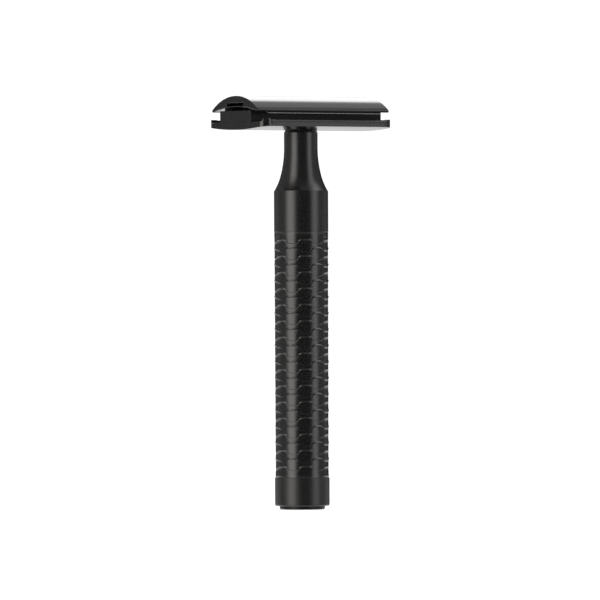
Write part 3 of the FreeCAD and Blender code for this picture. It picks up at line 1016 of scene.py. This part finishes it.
def turned_steel():
    """Bare turned steel of the stud, the pins and the tie rod."""
    material, nodes, shader, place = new_material("turned_steel")
    streak = nodes.noise(nodes.stretched(place, (300.0, 300.0, 15000.0)), 1.0, 3.0, 0.6)
    cloud = nodes.noise(place, 500.0, 3.0, 0.5)
    tone = nodes.math("ADD", nodes.math("MULTIPLY", streak, 0.5),
                      nodes.math("MULTIPLY", cloud, 0.5))
    nodes.put(shader.inputs["Base Color"],
              nodes.mixed(tone, (0.42, 0.42, 0.43, 1), (0.60, 0.60, 0.61, 1)))
    nodes.put(shader.inputs["Roughness"], nodes.ramp(tone, 0.3, 0.7, 0.22, 0.38))
    nodes.put(shader.inputs["Normal"],
              nodes.bump(nodes.math("MULTIPLY", streak, 0.0012), MM, 1.0))
    shader.inputs["Metallic"].default_value = 1.0
    return material


def ring_rubber():
    """Matte rubber of the seal rings, with the fine pores of a moulding."""
    material, nodes, shader, place = new_material("ring_rubber")
    pores = nodes.add("ShaderNodeTexVoronoi", Vector=place, Scale=6000.0).outputs["Distance"]
    cloud = nodes.noise(place, 700.0, 3.0, 0.6)
    nodes.put(shader.inputs["Base Color"],
              nodes.mixed(cloud, (0.012, 0.012, 0.012, 1), (0.026, 0.025, 0.024, 1)))
    nodes.put(shader.inputs["Roughness"], nodes.ramp(cloud, 0.3, 0.7, 0.6, 0.75))
    nodes.put(shader.inputs["Normal"],
              nodes.bump(nodes.math("MULTIPLY", pores, 0.004), MM, 1.0))
    return material


def pale_floor():
    """Matte near-white, very slightly clouded."""
    material, nodes, shader, place = new_material("pale_floor")
    cloud = nodes.noise(place, 9.0, 2.0, 0.5)
    nodes.put(shader.inputs["Base Color"],
              nodes.mixed(cloud, (0.90, 0.90, 0.90, 1), (0.93, 0.93, 0.93, 1)))
    shader.inputs["Roughness"].default_value = 0.9
    shader.inputs["Specular IOR Level"].default_value = 0.0
    return material


def give(piece, material):
    """Makes a material the only one of a piece."""
    piece.data.materials.clear()
    piece.data.materials.append(material)


# Studio

def make_floor():
    """A pale table top that runs far back from the razor."""
    near, far, aside, thickness, clearance = 900.0, 3600.0, 2600.0, 4.0, 0.02
    turn = Matrix.Rotation(VIEW_AZIMUTH, 3, "Z")
    verts = [tuple(turn @ Vector((x, y, z))) for z in (-thickness, -clearance)
             for x, y in ((-aside, -near), (aside, -near), (aside, far), (-aside, far))]
    faces = [(3, 2, 1, 0), (4, 5, 6, 7), (0, 1, 5, 4), (1, 2, 6, 5), (2, 3, 7, 6), (3, 0, 4, 7)]
    floor = finish_mesh("pale_table", verts, faces)
    give(floor, pale_floor())
    floor.visible_glossy = False


# How bright each part of the studio's surroundings is.
LEFT_PANEL = 1.0
RIGHT_PANEL = 0.56
BACKDROP = 2.6
LOW_BACKDROP = 0.17
SKIRT = 0.45
TABLE = 1.0
LEFT_SIDE = 0.1
RIGHT_SIDE = 0.09
CEILING = 0.1
LEFT_HIGH = 1.2
RIGHT_HIGH = 0.8
ROOM = 0.04
SEEN_BACKGROUND = 1.1


def make_studio():
    """Soft upright panels left and right of the camera, and a bright backdrop behind.

    The camera itself sees plain white; the panels only light the razor and the floor.
    Headings are in degrees from the camera's own, and rise is in degrees above the horizon.
    """
    world = bpy.data.worlds.new("studio")
    bpy.context.scene.world = world
    world.use_nodes = True
    nodes = Nodes(world.node_tree)
    direction = nodes.add("ShaderNodeTexCoord").outputs["Generated"]
    parts = nodes.add("ShaderNodeSeparateXYZ", Vector=direction).outputs
    camera_heading = math.atan2(-math.cos(VIEW_AZIMUTH), math.sin(VIEW_AZIMUTH))
    azimuth = nodes.math("ARCTAN2", parts["Y"], parts["X"])
    elevation = nodes.math("ARCSINE", parts["Z"])

    def away_from(degrees):
        """The angle between a direction's heading and one beside the camera's, in degrees."""
        heading = camera_heading + math.radians(degrees)
        turn = nodes.math("SUBTRACT", azimuth, heading)
        return nodes.math("MULTIPLY", nodes.math("ARCCOSINE", nodes.math("COSINE", turn)),
                          180 / math.pi)

    rise = nodes.math("MULTIPLY", elevation, 180 / math.pi)
    upright = nodes.smooth(nodes.math("ABSOLUTE", rise), 38.0, 56.0, 1.0, 0.0)

    def panel(degrees, half_width, softness, strength):
        share = nodes.smooth(away_from(degrees), half_width - softness,
                             half_width + softness, strength, 0.0)
        return nodes.math("MULTIPLY", share, upright)

    def raised(degrees, height, edge, strength):
        """A soft lamp at a heading and a height."""
        off = nodes.math("ABSOLUTE", nodes.math("SUBTRACT", rise, height))
        return nodes.math("MULTIPLY", nodes.smooth(away_from(degrees), 14.0, 32.0, 1.0, 0.0),
                          nodes.smooth(off, 8.0, edge, strength, 0.0))

    from_back = away_from(180.0)
    backdrop = nodes.math("MULTIPLY", nodes.smooth(from_back, 9.0, 19.0, BACKDROP, 0.0),
                          nodes.smooth(rise, 33.0, 40.0, 1.0, 0.0))
    backdrop = nodes.math("MULTIPLY", backdrop, nodes.smooth(rise, -6.0, -2.0, 0.0, 1.0))
    backdrop = nodes.math("MULTIPLY", backdrop,
                          nodes.smooth(rise, 2.0, 22.0, LOW_BACKDROP, 1.0))
    skirt = nodes.math("MULTIPLY", nodes.smooth(from_back, 26.0, 39.0, SKIRT, 0.0),
                       nodes.smooth(rise, 22.0, 36.0, 0.0, 1.0))
    table = nodes.math("MULTIPLY", nodes.smooth(from_back, 45.0, 80.0, TABLE, 0.0),
                       nodes.smooth(rise, -6.0, -2.0, 1.0, 0.0))
    lights = [
        panel(-46.0, 17.0, 11.0, LEFT_PANEL),
        panel(60.0, 13.0, 8.0, RIGHT_PANEL),
        backdrop,
        skirt,
        table,
        nodes.smooth(away_from(-105.0), 30.0, 62.0, LEFT_SIDE, 0.0),
        nodes.smooth(away_from(100.0), 20.0, 50.0, RIGHT_SIDE, 0.0),
        raised(-92.0, 58.0, 16.0, LEFT_HIGH),
        raised(98.0, 48.0, 18.0, RIGHT_HIGH),
        nodes.smooth(rise, 40.0, 60.0, 0.0, CEILING),
    ]
    total = ROOM
    for light in lights:
        total = nodes.math("ADD", light, total)
    warm = nodes.mixed(nodes.smooth(away_from(-44.0), 10.0, 40.0, 1.0, 0.0),
                       (1.0, 1.0, 1.0, 1), (1.0, 0.978, 0.93, 1))
    lit = nodes.add("ShaderNodeBackground", Color=warm, Strength=total).outputs[0]
    white = nodes.add("ShaderNodeBackground", Color=(1, 1, 1, 1),
                      Strength=SEEN_BACKGROUND).outputs[0]
    seen = nodes.add("ShaderNodeLightPath").outputs["Is Camera Ray"]
    mix = nodes.add("ShaderNodeMixShader")
    nodes.put(mix.inputs[0], seen)
    nodes.put(mix.inputs[1], lit)
    nodes.put(mix.inputs[2], white)
    output = world.node_tree.nodes["World Output"]
    world.node_tree.links.new(mix.outputs[0], output.inputs["Surface"])


def make_floor_light():
    """An even light from above that keeps the table white and casts no shadow."""
    lamp = bpy.data.lights.new("table_light", "SUN")
    lamp.energy = 2.9
    lamp.angle = math.radians(20)
    lamp.use_shadow = False
    holder = bpy.data.objects.new("table_light", lamp)
    holder.location = (0, 0, 1.5)
    holder.visible_glossy = False
    bpy.context.scene.collection.objects.link(holder)


def make_camera():
    """Level with the middle of the handle, a long way off at the view's heading."""
    camera = bpy.data.cameras.new("view")
    camera.sensor_width = 36.0
    camera.lens = camera.sensor_width * VIEW_DISTANCE / VIEW_WIDTH
    camera.clip_start, camera.clip_end = 0.1, 20.0
    holder = bpy.data.objects.new("view", camera)
    back = Vector((math.sin(VIEW_AZIMUTH), -math.cos(VIEW_AZIMUTH), 0))
    aside = Vector((math.cos(VIEW_AZIMUTH), math.sin(VIEW_AZIMUTH), 0))
    holder.location = back * VIEW_DISTANCE + aside * VIEW_ASIDE + Vector((0, 0, VIEW_HEIGHT))
    level = (-back).to_track_quat("-Z", "Y").to_matrix()
    holder.matrix_world = (Matrix.Translation(holder.location)
                           @ (level @ Matrix.Rotation(VIEW_ROLL, 3, "Z")).to_4x4())
    bpy.context.scene.collection.objects.link(holder)
    bpy.context.scene.camera = holder


# The whole razor

def place_piece(piece, body, node, material):
    """Gives a finished piece its looks and its body, in place of a CAD node."""
    give(piece, material)
    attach(piece, body)
    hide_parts(node)


def main():
    """Every piece with its material, then the studio."""
    steel, rubber = turned_steel(), ring_rubber()
    place_piece(make_foot_disc(), "handle", "foot_disc", foot_black_painted_shade())
    place_piece(make_end_knob(), "handle", "end_knob", matte_black())
    place_piece(make_grip_sleeve(), "handle", "grip_sleeve",
                sleeve_black())
    place_piece(make_handle_neck(), "handle", "handle_neck", satin_black())
    place_piece(make_base_plate(), "plate", "base_plate",
                plate_black())
    place_piece(make_razor_blade(), "blade", "razor_blade",
                ground_blade_steel())
    place_piece(make_top_cap(), "cap", "top_cap", gloss_black())
    place_piece(make_clamp_stud(), "cap", "clamp_stud", steel)
    for node in ("locating_pin_left", "locating_pin_right"):
        place_piece(make_locating_pin(node), "cap", node, steel)
    for node, slot, material in (("tie_rod", "bare_steel", steel),
                                 ("lower_seal_ring", "seal_rubber", rubber),
                                 ("upper_seal_ring", "seal_rubber", rubber)):
        give(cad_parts[node], material)
    make_floor()
    make_studio()
    make_floor_light()
    make_camera()
    bpy.context.scene.view_settings.view_transform = "Standard"


main()
